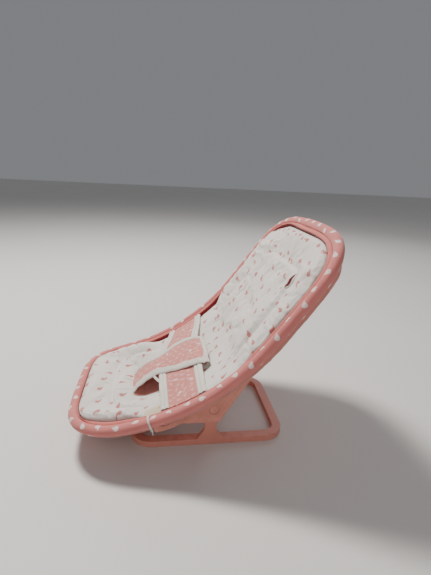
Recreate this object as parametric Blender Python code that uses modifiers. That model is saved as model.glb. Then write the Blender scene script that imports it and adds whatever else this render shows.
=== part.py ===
"""Toy bouncer seat: a padded fabric seat on a plastic frame that tilts on a small ring base.

Run with: blender --background --python part.py
Metres, +Z up. Foot end towards -Y, head end towards +Y, origin on the table under the middle of
the overall box. Seat pieces are drawn flat, as (x, u, h): x across, u along the seat from the
foot rim, h above the rim plane. They are then laid over the seat's side profile by lay().
"""
import math

import bmesh
import bpy
from mathutils import Matrix, Vector

MM = 0.001

# ---- driving dimensions, millimetres -------------------------------------------------------
SHIFT_Y = 14.18           # base centre to the middle of the overall box
# side profile of the seat: a short foot straight, one bend, then the straight back
FOOT_Y, FOOT_Z = -142.9, 35.1
FOOT_ANGLE, BACK_ANGLE = 6.2, 54.3
FOOT_STRAIGHT, BEND_R = 23.8, 233.7
# half outline of the rim's centre line, foot to head: (x, u)
OUTLINE = [(0, 3.0), (26, 3.1), (45, 4.4), (57.5, 7.9), (68.5, 14.8), (76.6, 24.5), (82.6, 38),
           (86.4, 57), (90, 91), (94.4, 132), (97, 173), (98.6, 225), (98.3, 275), (95.4, 295.5),
           (89, 308.8), (79, 318.4), (65, 325.6), (48, 329.6), (25, 331.4), (0, 331.8)]
RIM_A, RIM_B, RIM_WALL = 5.1, 4.9, 1.2       # rim cover: half width, half height, wall
FRAME_A, FRAME_B = 3.0, 2.8                  # seat frame inside the rim cover
PAD_INSET = 10.2                             # rim centre line to the pad's edge
COVER_INSET = 5.6                            # rim centre line to the underside cover's edge
BELT_INSET = 10.3                            # rim centre line to the belts' sewn ends
# base
RING_X, RING_Y, RING_CORNER = 60.7, 82.5, 22.0
RAIL_W, RAIL_H = 9.5, 6.6
UPRIGHT_T, UPRIGHT_HALF = 5.0, 6.3
PIVOT_Y, PIVOT_Z, PIN_R, PIN_FIT = 2.0, 44.5, 3.0, 0.1
HEAD_R, HEAD_T = 4.8, 1.6
CHEEK_X, CHEEK_T = 61.0, 4.0                 # inner face and thickness of the hinge brackets
# harness
STRAP_ROOT, STRAP_END = 56.0, 152.5
BINDING = 8.0
BELT_HALF = 23.5
BAR_STATIONS = {"front_cross_bar": 104.0, "rear_cross_bar": 168.0}
BAR_W, BAR_T, BAR_H, BAR_REACH = 12.0, 3.2, -25.3, 64.9


# ---- scene helpers -------------------------------------------------------------------------
def clear_scene():
    for obj in list(bpy.data.objects):
        bpy.data.objects.remove(obj, do_unlink=True)


def collection(name):
    coll = bpy.data.collections.new(name)
    bpy.context.scene.collection.children.link(coll)
    return coll


def material(name, colour, rough, metal=0.0):
    mat = bpy.data.materials.get(name) or bpy.data.materials.new(name)
    mat.use_nodes = True
    shader = mat.node_tree.nodes["Principled BSDF"]
    shader.inputs["Base Color"].default_value = (*colour, 1.0)
    shader.inputs["Roughness"].default_value = rough
    shader.inputs["Metallic"].default_value = metal
    return mat


def add(name, mesh, mat, coll):
    obj = bpy.data.objects.new(name, mesh)
    mesh.name = name
    mesh.materials.clear()
    mesh.materials.append(mat)
    coll.objects.link(obj)
    return obj


def mesh_from(bm, name, sharp=35):
    bmesh.ops.recalc_face_normals(bm, faces=bm.faces)
    mesh = bpy.data.meshes.new(name)
    bm.to_mesh(mesh)
    bm.free()
    mesh.shade_smooth()
    mesh.set_sharp_from_angle(angle=math.radians(sharp))
    return mesh


def curve_to_mesh(curve, name):
    """Mesh of a curve object, caps welded; the curve is removed."""
    obj = bpy.data.objects.new(name + "_curve", curve)
    bpy.context.scene.collection.objects.link(obj)
    bpy.context.view_layer.update()
    depsgraph = bpy.context.evaluated_depsgraph_get()
    mesh = bpy.data.meshes.new_from_object(obj.evaluated_get(depsgraph))
    bpy.data.objects.remove(obj, do_unlink=True)
    bm = bmesh.new()
    bm.from_mesh(mesh)
    bpy.data.meshes.remove(mesh)
    bmesh.ops.remove_doubles(bm, verts=bm.verts, dist=0.00001)
    return bm


def poly_spline(curve, points, cyclic=True):
    spline = curve.splines.new("POLY")
    spline.points.add(len(points) - 1)
    for p, q in zip(spline.points, points):
        p.co = (q[0], q[1], q[2] if len(q) > 2 else 0.0, 1.0)
    spline.use_cyclic_u = cyclic
    return spline


def plate(outlines, thickness, name):
    """Flat 2D outlines (metres) filled and extruded to a plate centred on its own plane."""
    curve = bpy.data.curves.new(name, "CURVE")
    curve.dimensions = "2D"
    curve.fill_mode = "BOTH"
    curve.extrude = thickness / 2
    for outline in outlines:
        poly_spline(curve, outline)
    return curve_to_mesh(curve, name)


def boolean(obj, cutter, operation):
    mod = obj.modifiers.new(operation.title(), "BOOLEAN")
    mod.operation = operation
    mod.object = cutter
    mod.solver = "EXACT"


def bevel(obj, width, segments=1, angle=30):
    mod = obj.modifiers.new("Edges", "BEVEL")
    mod.width = width
    mod.segments = segments
    mod.limit_method = "ANGLE"
    mod.angle_limit = math.radians(angle)


def rod(name, radius, x0, x1, y, z, segments=20):
    """A round bar along X."""
    bm = bmesh.new()
    bmesh.ops.create_cone(bm, cap_ends=True, segments=segments, radius1=radius, radius2=radius,
                          depth=x1 - x0)
    bmesh.ops.rotate(bm, verts=bm.verts, matrix=Matrix.Rotation(math.radians(90), 3, "Y"))
    bmesh.ops.translate(bm, verts=bm.verts, vec=((x0 + x1) / 2, y, z))
    return bm


# ---- smooth curves and the seat's surface --------------------------------------------------
def smooth(t):
    t = min(max(t, 0.0), 1.0)
    return t * t * (3 - 2 * t)


def through(points, x):
    """Monotone-in-x value through (x, y) stations, with eased tangents."""
    if x <= points[0][0]:
        return points[0][1]
    for (x0, y0), (x1, y1) in zip(points, points[1:]):
        if x <= x1:
            t = (x - x0) / (x1 - x0)
            return y0 + (y1 - y0) * (0.5 * t + 0.5 * smooth(t))
    return points[-1][1]


def catmull(points, per):
    """Closed smooth curve through points, `per` samples between neighbours."""
    out, n = [], len(points)
    for i in range(n):
        p = [Vector(points[(i + k) % n]) for k in (-1, 0, 1, 2)]
        for j in range(per):
            t = j / per
            out.append(0.5 * ((2 * p[1]) + (p[2] - p[0]) * t
                              + (2 * p[0] - 5 * p[1] + 4 * p[2] - p[3]) * t * t
                              + (3 * p[1] - p[0] - 3 * p[2] + p[3]) * t ** 3))
    return out


def rim_path(count, inset=0.0):
    """`count` evenly spaced points on the rim's centre line, moved inwards by inset."""
    half = [(x, u) for x, u in OUTLINE]
    loop = half + [(-x, u) for x, u in reversed(half[1:-1])]
    dense = catmull(loop, 24)
    lengths = [0.0]
    for a, b in zip(dense, dense[1:] + dense[:1]):
        lengths.append(lengths[-1] + (b - a).length)
    out, k = [], 0
    for i in range(count):
        target = lengths[-1] * i / count
        while lengths[k + 1] < target:
            k += 1
        a, b = dense[k], dense[(k + 1) % len(dense)]
        t = (target - lengths[k]) / max(lengths[k + 1] - lengths[k], 1e-9)
        tangent = (b - a).normalized()
        out.append(a.lerp(b, t) + inset * Vector((-tangent.y, tangent.x)))
    return out


INSET_CACHE = {}


def half_width(u, inset=0.0):
    """Half width of the seat outline at u, and limits in u, for an outline moved inwards."""
    if inset not in INSET_CACHE:
        pts = [p for p in rim_path(480, inset) if p.x > 0]
        INSET_CACHE[inset] = sorted((p.y, p.x) for p in pts)
    pts = INSET_CACHE[inset]
    lo, hi = pts[0][0], pts[-1][0]
    u = min(max(u, lo + 0.8), hi - 0.8)
    for (u0, x0), (u1, x1) in zip(pts, pts[1:]):
        if u <= u1:
            return x0 + (x1 - x0) * (u - u0) / max(u1 - u0, 1e-9)
    return pts[-1][1]


def limits(inset):
    half_width(0, inset)
    return INSET_CACHE[inset][0][0] + 0.8, INSET_CACHE[inset][-1][0] - 0.8


def profile(u):
    """Point and slope of the seat's side profile at u millimetres from the foot rim."""
    a0, a1 = math.radians(FOOT_ANGLE), math.radians(BACK_ANGLE)
    arc = BEND_R * (a1 - a0)
    y, z = FOOT_Y, FOOT_Z
    s = min(u, FOOT_STRAIGHT)
    y, z = y + s * math.cos(a0), z + s * math.sin(a0)
    bend = min(max(u - FOOT_STRAIGHT, 0.0), arc)
    a = a0 + bend / BEND_R
    y += BEND_R * (math.sin(a) - math.sin(a0))
    z += BEND_R * (math.cos(a0) - math.cos(a))
    rest = max(u - FOOT_STRAIGHT - arc, 0.0)
    return y + rest * math.cos(a1), z + rest * math.sin(a1), a


def seat_point(x, u, h):
    """World position in metres of a point on the seat."""
    y, z, a = profile(u)
    return Vector((x, y - h * math.sin(a) + SHIFT_Y, z + h * math.cos(a))) * MM


def base_point(x, y, z):
    return Vector((x, y + SHIFT_Y, z)) * MM


def lay(bm):
    """Move flat (x, u, h) millimetre coordinates onto the seat's profile."""
    for v in bm.verts:
        v.co = seat_point(*v.co)
    return bm


# ---- seat building blocks ------------------------------------------------------------------
def slab(rows, cols, x_of, low, high):
    """Closed sheet on a grid: x_of(p, u) places column p, low and high give its two faces."""
    bm = bmesh.new()
    bmesh.ops.create_grid(bm, x_segments=len(cols) - 1, y_segments=len(rows) - 1, size=1.0)
    nx, ny = len(cols) - 1, len(rows) - 1
    spots = {}
    for v in bm.verts:
        i, j = round((v.co.x + 1) / 2 * nx), round((v.co.y + 1) / 2 * ny)
        spots[v] = (x_of(cols[i], rows[j]), rows[j])
    old = set(bm.verts)
    grown = bmesh.ops.extrude_face_region(bm, geom=list(bm.faces))
    upper = [e for e in grown["geom"] if isinstance(e, bmesh.types.BMVert)]
    for v in upper:
        i, j = round((v.co.x + 1) / 2 * nx), round((v.co.y + 1) / 2 * ny)
        x, u = x_of(cols[i], rows[j]), rows[j]
        v.co = (x, u, high(x, u))
    for v in old:
        x, u = spots[v]
        v.co = (x, u, low(x, u))
    return lay(bm)


def spaced(lo, hi, count):
    return [lo + (hi - lo) * i / count for i in range(count + 1)]


def rim_sweep(section, count, name):
    """Sweep a closed (outward, h) section round the rim's centre line."""
    shape = bpy.data.curves.new(name + "_section", "CURVE")
    shape.dimensions = "2D"
    poly_spline(shape, section)
    shape_obj = bpy.data.objects.new(name + "_section", shape)
    shape_obj.hide_render = True
    bpy.context.scene.collection.objects.link(shape_obj)
    path = bpy.data.curves.new(name, "CURVE")
    path.dimensions = "3D"
    path.twist_mode = "Z_UP"
    path.bevel_mode = "OBJECT"
    path.bevel_object = shape_obj
    poly_spline(path, [(p.x, p.y, 0.0) for p in rim_path(count)])
    bm = curve_to_mesh(path, name)
    bpy.data.objects.remove(shape_obj, do_unlink=True)
    return lay(bm)


def ellipse(a, b, start, stop, count):
    steps = [math.radians(start + (stop - start) * i / count) for i in range(count + 1)]
    return [(a * math.cos(t), b * math.sin(t)) for t in steps]


# ---- heights of the stacked soft layers ----------------------------------------------------
def cover_mid(x, u):
    """Underside cover: drops steeply inside the rim, then runs as a shallow pan."""
    lo, hi = limits(COVER_INSET)
    d = max(min(half_width(u, COVER_INSET) - abs(x), u - lo, hi - u), 0.0)
    return through([(0, -6.2), (0.9, -11.2), (3.6, -14.5), (12.5, -17.4), (60, -20.4)], d)


def pad_top(x, u):
    """Quilted pad: raised foot and head rolls, sunk seat and back."""
    lo, hi = limits(PAD_INSET)
    side = half_width(u, PAD_INSET) - abs(x)
    middle = smooth((side - 6) / 28) * smooth((u - 30) / 24) * smooth((290 - u) / 26)
    rise = 4.2 * (1 - smooth((u - 58) / 28)) + 4.2 * smooth((u - 172) / 34)
    edge = min(side, u - lo, hi - u)
    border = -1.9 + 1.3 * rise + (0.4 + 0.85 * rise) * smooth(edge / 10)
    sunk = -10.4 + 4.6 * smooth((u - 165) / 40)
    return border + (sunk - border) * middle


def strap_mid(u):
    return through([(56, -7.4), (63, -3), (69, 2), (81, 6.8), (93, 8.4), (118, 8.6), (130, 7.4),
                    (142, 4.2), (147.5, 0.4), (152.5, -4.6)], u)


def strap_half(u):
    return through([(56, 23), (69, 21.5), (81, 20), (93, 19), (105, 24), (118, 30), (130, 32),
                    (145, 32), (150, 29), (152.5, 25)], u)


def belt_mid(x, u):
    centre = 4.6 - 4.6 * smooth((u - 116) / 28)
    reach = smooth((abs(x) - 32) / 52)
    return centre + (1.2 - centre) * reach


# ---- base ----------------------------------------------------------------------------------
def rounded_rect(hx, hy, r, segments=7):
    pts = []
    for cx, cy, a0 in ((hx - r, hy - r, 0), (r - hx, hy - r, 90), (r - hx, r - hy, 180),
                       (hx - r, r - hy, 270)):
        for i in range(segments + 1):
            a = math.radians(a0 + 90 * i / segments)
            pts.append((cx + r * math.cos(a), cy + r * math.sin(a)))
    return pts


def build_base(parts, cutters, pink):
    """Ring and both uprights, one moulding."""
    outer = rounded_rect(RING_X, RING_Y, RING_CORNER)
    inner = rounded_rect(RING_X - RAIL_W, RING_Y - RAIL_W, RING_CORNER - RAIL_W)
    outlines = [[(x * MM, (y + SHIFT_Y) * MM) for x, y in pts] for pts in (outer, inner)]
    bm = plate(outlines, RAIL_H * MM, "ring")
    bmesh.ops.translate(bm, verts=bm.verts, vec=(0, 0, RAIL_H / 2 * MM))
    base = add("base_frame", mesh_from(bm, "base_frame"), pink, parts)
    for side, tag in ((-1, "left"), (1, "right")):
        w = UPRIGHT_HALF
        side_view = [(-13.6, 1.0), (13.8, 1.0), (13.8, 7.2), (w, 15.2), (w, PIVOT_Z - 4)]
        side_view += [(PIVOT_Y + 8.0 * math.cos(t), PIVOT_Z + 8.0 * math.sin(t))
                      for t in [math.radians(v) for v in range(-20, 201, 20)]]
        side_view += [(-w, PIVOT_Z - 4), (-w, 17.4), (-13.6, 6.9)]
        bm = plate([[(y * MM, z * MM) for y, z in side_view]], UPRIGHT_T * MM, "upright")
        turn = Matrix(((0, 0, 1), (1, 0, 0), (0, 1, 0)))
        bmesh.ops.transform(bm, matrix=turn.to_4x4(), verts=bm.verts)
        x = side * (RING_X - 0.1 - UPRIGHT_T / 2)
        bmesh.ops.translate(bm, verts=bm.verts, vec=base_point(x, 0, 0))
        upright = add("upright_" + tag, mesh_from(bm, "upright_" + tag), pink, cutters)
        boolean(base, upright, "UNION")
        lo, hi = sorted((side * (RING_X + 3), side * (RING_X - UPRIGHT_T - 3)))
        hole = rod("hole", (PIN_R + PIN_FIT) * MM, lo * MM, hi * MM, (PIVOT_Y + SHIFT_Y) * MM,
                   PIVOT_Z * MM)
        hole = add("pivot_hole_" + tag, mesh_from(hole, "pivot_hole_" + tag), pink, cutters)
        boolean(base, hole, "DIFFERENCE")
        hide(upright, hole)
    bevel(base, 0.9 * MM)


def hide(*objects):
    for obj in objects:
        obj.hide_render = True
        obj.display_type = "WIRE"


# ---- seat frame, brackets and pins ---------------------------------------------------------
def bar_mesh(u, grow=0.0):
    """Flat cross bar through both hinge brackets; grow widens it all round for its slots."""
    bm = bmesh.new()
    bmesh.ops.create_cube(bm, size=1.0)
    size = (2 * BAR_REACH + 8 * grow, BAR_W + 2 * grow, BAR_T + 2 * grow)
    bmesh.ops.scale(bm, verts=bm.verts, vec=Vector(size) * MM)
    bmesh.ops.rotate(bm, verts=bm.verts, matrix=Matrix.Rotation(profile(u)[2], 3, "X"))
    bmesh.ops.translate(bm, verts=bm.verts, vec=seat_point(0, u, BAR_H))
    return bm


def cheek_outline():
    """Side view of a hinge bracket in (y, z): long curved plate, deepest at the pivot."""
    top = []
    for i in range(13):
        y, z, a = profile(92 + 118 * i / 12)
        h = -23.2
        top.append((y - h * math.sin(a), z + h * math.cos(a)))
    rear = [(54, 103), (47, 94), (40, 83.5), (31.5, 68.8), (18.8, 48.2), (11.2, 36.2)]
    corner = [(PIVOT_Y + 3.2 + 6.5 * math.cos(t), 36.4 + 6.5 * math.sin(t))
              for t in [math.radians(v) for v in range(-25, -91, -13)]]
    front = [(-12, 29.9), (-30, 30.4), (-41, 31.4)]
    return top + rear + corner + front


def build_brackets(parts, cutters, pink):
    outline = [((y + SHIFT_Y) * MM, z * MM) for y, z in cheek_outline()]
    bars = {}
    for name, u in BAR_STATIONS.items():
        cut = add(name + "_clearance", mesh_from(bar_mesh(u, 0.3), name), pink, cutters)
        hide(cut)
        bars[name] = cut
        bar = add(name, mesh_from(bar_mesh(u), name), pink, parts)
        bevel(bar, 0.5 * MM)
    for side, tag in ((-1, "left"), (1, "right")):
        bm = plate([outline], CHEEK_T * MM, "bracket")
        turn = Matrix(((0, 0, 1), (1, 0, 0), (0, 1, 0)))
        bmesh.ops.transform(bm, matrix=turn.to_4x4(), verts=bm.verts)
        x = side * (CHEEK_X + CHEEK_T / 2)
        bmesh.ops.translate(bm, verts=bm.verts, vec=(x * MM, 0, 0))
        bracket = add("hinge_bracket_" + tag, mesh_from(bm, "hinge_bracket_" + tag), pink, parts)
        outer = side * (CHEEK_X + CHEEK_T)
        for radius, x0, x1 in ((PIN_R + PIN_FIT, CHEEK_X - 3, CHEEK_X + CHEEK_T + 3),
                               (HEAD_R + 0.35, CHEEK_X + CHEEK_T - HEAD_T - 0.3,
                                CHEEK_X + CHEEK_T + 3)):
            lo, hi = sorted((side * x0, side * x1))
            hole = rod("hole", radius * MM, lo * MM, hi * MM, (PIVOT_Y + SHIFT_Y) * MM,
                       PIVOT_Z * MM)
            label = "bracket_hole_%s_%d" % (tag, round(radius * 10))
            hole = add(label, mesh_from(hole, label), pink, cutters)
            hide(hole)
            boolean(bracket, hole, "DIFFERENCE")
        for cut in bars.values():
            boolean(bracket, cut, "DIFFERENCE")
        pin = rod("pin", PIN_R * MM, *sorted((side * (outer * side - HEAD_T - 0.3) * MM,
                                              side * (RING_X - UPRIGHT_T - 2.6) * MM)),
                  (PIVOT_Y + SHIFT_Y) * MM, PIVOT_Z * MM)
        pin = add("pivot_pin_" + tag, mesh_from(pin, "pivot_pin_" + tag), pink, parts)
        head = rod("head", HEAD_R * MM, *sorted((side * (outer * side - HEAD_T) * MM,
                                                 side * (outer * side - 0.3) * MM)),
                   (PIVOT_Y + SHIFT_Y) * MM, PIVOT_Z * MM)
        flange = rod("flange", 4.1 * MM, *sorted((side * (RING_X - UPRIGHT_T - 0.5) * MM,
                                                  side * (RING_X - UPRIGHT_T - 1.9) * MM)),
                     (PIVOT_Y + SHIFT_Y) * MM, PIVOT_Z * MM)
        core = rod("core", PIN_R * MM, *sorted((side * (outer * side - HEAD_T - 0.6) * MM,
                                                side * (outer * side - HEAD_T + 0.5) * MM)),
                   (PIVOT_Y + SHIFT_Y) * MM, PIVOT_Z * MM)
        for bm, label in ((core, "core"), (head, "head"), (flange, "flange")):
            tool = add("pin_%s_%s" % (label, tag), mesh_from(bm, label), pink, cutters)
            hide(tool)
            boolean(pin, tool, "UNION")


def build_arms(parts, pink):
    """Front arm of each hinge bracket: a fin that runs forwards and out to the rim."""
    near, far, half = 84.0, 107.0, 1.8
    top = [(66, -23.8), (71, -20.0), (80, -16.6), (83, -13.8), (85, -10.0), (87, -7.0), (92, -6.4)]
    foot = [(66, -29.6), (75, -24.5), (82, -19.0), (86, -14.5), (90, -11.5)]
    for side, tag in ((-1, "left"), (1, "right")):
        def across(p, u):
            return side * (88.0 - 21.0 * (u - near) / (far - near) + p)

        arm = slab(spaced(near, far, 10), [-half, half], across,
                   lambda x, u: through(foot, abs(x)), lambda x, u: through(top, abs(x)))
        add("rim_arm_" + tag, mesh_from(arm, "rim_arm_" + tag), pink, parts)


def build_screws(parts, steel):
    """Four pan-head screws that hold the cross bars to the bracket lugs."""
    for bar, u in BAR_STATIONS.items():
        for side, tag in ((-1, "left"), (1, "right")):
            name = "bracket_screw_%s_%s" % (bar.split("_")[0], tag)
            bm = bmesh.new()
            bmesh.ops.create_cone(bm, cap_ends=True, segments=16, radius1=1.6 * MM,
                                  radius2=2.4 * MM, depth=1.4 * MM)
            bmesh.ops.rotate(bm, verts=bm.verts, matrix=Matrix.Rotation(profile(u)[2], 3, "X"))
            h = BAR_H - BAR_T / 2 - 1.1
            bmesh.ops.translate(bm, verts=bm.verts,
                                vec=seat_point(side * (CHEEK_X - 6.5), u, h))
            add(name, mesh_from(bm, name), steel, parts)


def build_rim(parts, pink, print_pink, seam_red, white):
    frame = ellipse(FRAME_A, FRAME_B, 0, 360 - 45, 7)
    add("seat_frame", mesh_from(rim_sweep(frame, 64, "seat_frame"), "seat_frame"), pink, parts)
    # rim cover: wraps the frame and stays open along the inner underside
    outside = ellipse(RIM_A, RIM_B, -118, 208, 8)
    inside = ellipse(RIM_A - RIM_WALL, RIM_B - RIM_WALL, 208, -118, 6)
    cover = rim_sweep(outside + inside, 64, "rim_cover")
    add("rim_cover", mesh_from(cover, "rim_cover", 60), print_pink, parts)
    strip = [(-5.4, 1.2), (-5.4, 3.0), (-8.5, 3.2), (-8.5, 1.4)]
    welt = rim_sweep(strip, 64, "rim_seam_strip")
    add("rim_seam_strip", mesh_from(welt, "rim_seam_strip"), seam_red, parts)
    # elastic tie: a short woven band that comes out of the seam and hooks round the rim
    u, width = 83.5, 3.6
    w = half_width(u)
    outer = [(w + x, h) for x, h in ellipse(RIM_A + 1.7, RIM_B + 1.7, 138, -75, 9)]
    inner = [(w + x, h) for x, h in ellipse(RIM_A + 0.5, RIM_B + 0.5, -75, 138, 9)]
    bm = plate([[(x * MM, h * MM) for x, h in outer + inner]], width * MM, "tie")
    y, z, a = profile(u)
    stand = Matrix(((1, 0, 0), (0, -math.sin(a), math.cos(a)), (0, math.cos(a), math.sin(a))))
    bmesh.ops.transform(bm, matrix=stand.to_4x4(), verts=bm.verts)
    bmesh.ops.translate(bm, verts=bm.verts, vec=Vector((0, y + SHIFT_Y, z)) * MM)
    add("elastic_tie", mesh_from(bm, "elastic_tie"), white, parts)


# ---- soft layers ---------------------------------------------------------------------------
COLS = [-1, -0.97, -0.9, -0.72, -0.4, 0, 0.4, 0.72, 0.9, 0.97, 1]


def build_layers(parts, pink_cloth, white_cloth, wadding, print_white):
    def across(inset):
        return lambda p, u: p * half_width(u, inset)

    def rows(inset, count):
        lo, hi = limits(inset)
        ends = [0, 1.2, 4, 10]
        return ([lo + e for e in ends] + spaced(lo + 20, hi - 20, count)
                + [hi - e for e in reversed(ends)])

    half = 0.45
    sheet = slab(rows(COVER_INSET, 17), COLS, across(COVER_INSET), lambda x, u: cover_mid(x, u) - half,
                 lambda x, u: cover_mid(x, u) + half)
    add("underside_cover", mesh_from(sheet, "underside_cover", 60), pink_cloth, parts)
    levels = (("pad_backing", 17.5, 1.2, 0.8, white_cloth),
              ("pad_wadding", 18.5, 2.9, 2.4, wadding))
    for name, inset, lift, thick, mat in levels:
        low = half + lift
        body = slab(rows(inset, 15), COLS, across(inset),
                    lambda x, u: cover_mid(x, u) + low,
                    lambda x, u: cover_mid(x, u) + low + thick)
        add(name, mesh_from(body, name, 60), mat, parts)
    low = half + 2.7 + 2.4 + 0.8
    body = slab(rows(PAD_INSET, 17), COLS, across(PAD_INSET),
                lambda x, u: cover_mid(x, u) + low, pad_top)
    add("seat_pad", mesh_from(body, "seat_pad", 60), print_white, parts)
    lining = slab(spaced(63, 92, 4), spaced(-25, 25, 4), lambda p, u: p,
                  lambda x, u: pad_top(x, u) + 1.2, lambda x, u: pad_top(x, u) + 1.9)
    add("crotch_lining", mesh_from(lining, "crotch_lining", 60), pink_cloth, parts)


def strip(name, rows, left, right, mid, thick, mat, parts, count=2):
    """A flat band: left and right give its edges in x at each u."""
    def place(p, u):
        return left(u) + (right(u) - left(u)) * p

    body = slab(rows, spaced(0, 1, count), place, lambda x, u: mid(x, u) - thick / 2,
                lambda x, u: mid(x, u) + thick / 2)
    return add(name, mesh_from(body, name, 60), mat, parts)


def build_harness(parts, pink_cloth, white_tape, loop_tape):
    gap = 0.15
    rows = [56, 60, 64, 69, 75, 81, 87, 93, 99, 105, 112, 118, 124, 130, 136, 142, 145, 147.5,
            150, 152.5]
    inner = lambda u: strap_half(u) - BINDING
    pieces = [strip("crotch_strap", rows, lambda u: gap - inner(u), lambda u: inner(u) - gap,
                    lambda x, u: strap_mid(u), 1.6, pink_cloth, parts)]
    for side, tag in ((-1, "left"), (1, "right")):
        lo = (lambda u: inner(u) + gap) if side > 0 else (lambda u: -strap_half(u))
        hi = (lambda u: strap_half(u)) if side > 0 else (lambda u: -inner(u) - gap)
        pieces.append(strip("crotch_strap_binding_" + tag, rows, lo, hi,
                            lambda x, u: strap_mid(u), 2.6, white_tape, parts, 1))
    pieces.append(strip("crotch_strap_hook_tape", [112, 118, 124, 130], lambda u: -13.0,
                        lambda u: 13.0, lambda x, u: strap_mid(u) - 1.5, 0.8, loop_tape, parts))
    for obj in pieces:
        set_origin(obj, seat_point(0, STRAP_ROOT, strap_mid(STRAP_ROOT)))
    for side, tag, drift in ((-1, "left", 14.0), (1, "right", 0.0)):
        belt_half(parts, side, tag, drift, pink_cloth, white_tape, loop_tape)


def belt_half(parts, side, tag, drift, pink_cloth, white_tape, loop_tape):
    """One side of the waist belt; drift moves its sewn end along the seat from the middle."""
    start, stop = 4.0, 1.0
    cols = [0, 0.18, 0.36, 0.52, 0.68, 0.84, 1.0]

    def slant(x):
        return drift * smooth((abs(x) - 14) / 74)

    def band(name, v0, v1, thick, mat, first=start):
        bm = bmesh.new()
        nx, ny = len(cols) - 1, 3 if v1 - v0 > 12 else 1
        bmesh.ops.create_grid(bm, x_segments=nx, y_segments=ny, size=1.0)
        grid = {v: (round((v.co.x + 1) / 2 * nx), round((v.co.y + 1) / 2 * ny))
                for v in bm.verts}
        grown = bmesh.ops.extrude_face_region(bm, geom=list(bm.faces))
        upper = [e for e in grown["geom"] if isinstance(e, bmesh.types.BMVert)]
        for v in upper:
            grid[v] = (round((v.co.x + 1) / 2 * nx), round((v.co.y + 1) / 2 * ny))
        top = set(upper)
        for v, (i, j) in grid.items():
            v_in = v0 + (v1 - v0) * j / ny
            end = half_width(118.5 + v_in + drift) - BELT_INSET
            x = first + (end - first) * cols[i]
            u = 118.5 + v_in + slant(x)
            h = belt_mid(x, 118.5 + v_in) + (thick / 2 if v in top else -thick / 2)
            v.co = (side * x, u, h)
        return add(name, mesh_from(lay(bm), name, 60), mat, parts)

    gap, inner = 0.15, BELT_HALF - BINDING
    pieces = [band("waist_belt_" + tag, -inner + gap, inner - gap, 1.6, pink_cloth),
              band("waist_belt_%s_lower_binding" % tag, -BELT_HALF, -inner - gap, 2.4, white_tape),
              band("waist_belt_%s_upper_binding" % tag, inner + gap, BELT_HALF, 2.4, white_tape)]
    lo, hi = sorted((side * (start + 1), side * (start + 9.5)))
    pieces.append(strip("waist_belt_%s_loop_tape" % tag, [112, 118, 124, 130],
                        lambda u: lo, lambda u: hi,
                        lambda x, u: belt_mid(x, u) + 1.45, 0.7, loop_tape, parts, 1))
    w = half_width(118.5 + drift) - BELT_INSET
    for obj in pieces:
        set_origin(obj, seat_point(side * w, 118.5 + drift, belt_mid(w, 118.5)))


def set_origin(obj, point):
    """Put an object's origin on its joint's axis without moving its shape."""
    obj.data.transform(Matrix.Translation(-point))
    obj.location = point


def main():
    clear_scene()
    parts = collection("bouncer_seat")
    cutters = collection("cutters")
    pink = material("pink_plastic", (0.62, 0.30, 0.26), 0.42)
    print_pink = material("pink_print_cotton", (0.70, 0.33, 0.31), 0.9)
    pink_cloth = material("pink_cotton", (0.70, 0.36, 0.33), 0.9)
    seam_red = material("seam_cotton", (0.62, 0.20, 0.17), 0.9)
    print_white = material("white_print_cotton", (0.78, 0.74, 0.70), 0.92)
    white_cloth = material("white_cotton", (0.78, 0.75, 0.71), 0.92)
    white_tape = material("white_binding", (0.80, 0.77, 0.72), 0.85)
    wadding = material("polyester_wadding", (0.85, 0.85, 0.84), 0.95)
    loop_tape = material("hook_and_loop", (0.80, 0.78, 0.75), 0.8)
    steel = material("steel", (0.55, 0.55, 0.55), 0.35, 1.0)
    build_base(parts, cutters, pink)
    build_brackets(parts, cutters, pink)
    build_arms(parts, pink)
    build_screws(parts, steel)
    build_rim(parts, pink, print_pink, seam_red, white_tape)
    build_layers(parts, pink_cloth, white_cloth, wadding, print_white)
    build_harness(parts, pink_cloth, white_tape, loop_tape)


main()
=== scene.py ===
"""Looks of the toy bouncer seat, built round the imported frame.

Soft pieces are drawn flat as (x, u, h) in millimetres: x across the seat, u along it from the
foot rim, h above the rim plane. place() lays them over the seat's side profile.
"""
from bisect import bisect_right
from math import cos, exp, hypot, inf, pi, radians, sin, sqrt

import bmesh
import bpy
from mathutils import Matrix, Vector, kdtree, noise


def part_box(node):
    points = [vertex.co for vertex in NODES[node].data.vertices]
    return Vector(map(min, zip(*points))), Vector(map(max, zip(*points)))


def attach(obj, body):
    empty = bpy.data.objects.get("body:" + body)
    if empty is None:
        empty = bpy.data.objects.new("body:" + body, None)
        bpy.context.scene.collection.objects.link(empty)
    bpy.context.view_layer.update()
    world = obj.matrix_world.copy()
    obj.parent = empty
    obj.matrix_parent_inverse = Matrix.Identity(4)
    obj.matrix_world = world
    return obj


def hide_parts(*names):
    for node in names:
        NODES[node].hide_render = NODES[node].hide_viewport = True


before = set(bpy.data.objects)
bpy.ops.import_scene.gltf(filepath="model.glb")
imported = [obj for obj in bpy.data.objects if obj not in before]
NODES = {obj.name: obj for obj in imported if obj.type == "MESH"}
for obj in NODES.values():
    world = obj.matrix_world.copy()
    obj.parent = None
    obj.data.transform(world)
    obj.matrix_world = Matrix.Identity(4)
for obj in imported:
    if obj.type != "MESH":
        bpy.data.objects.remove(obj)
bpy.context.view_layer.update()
MM = 0.001

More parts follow.
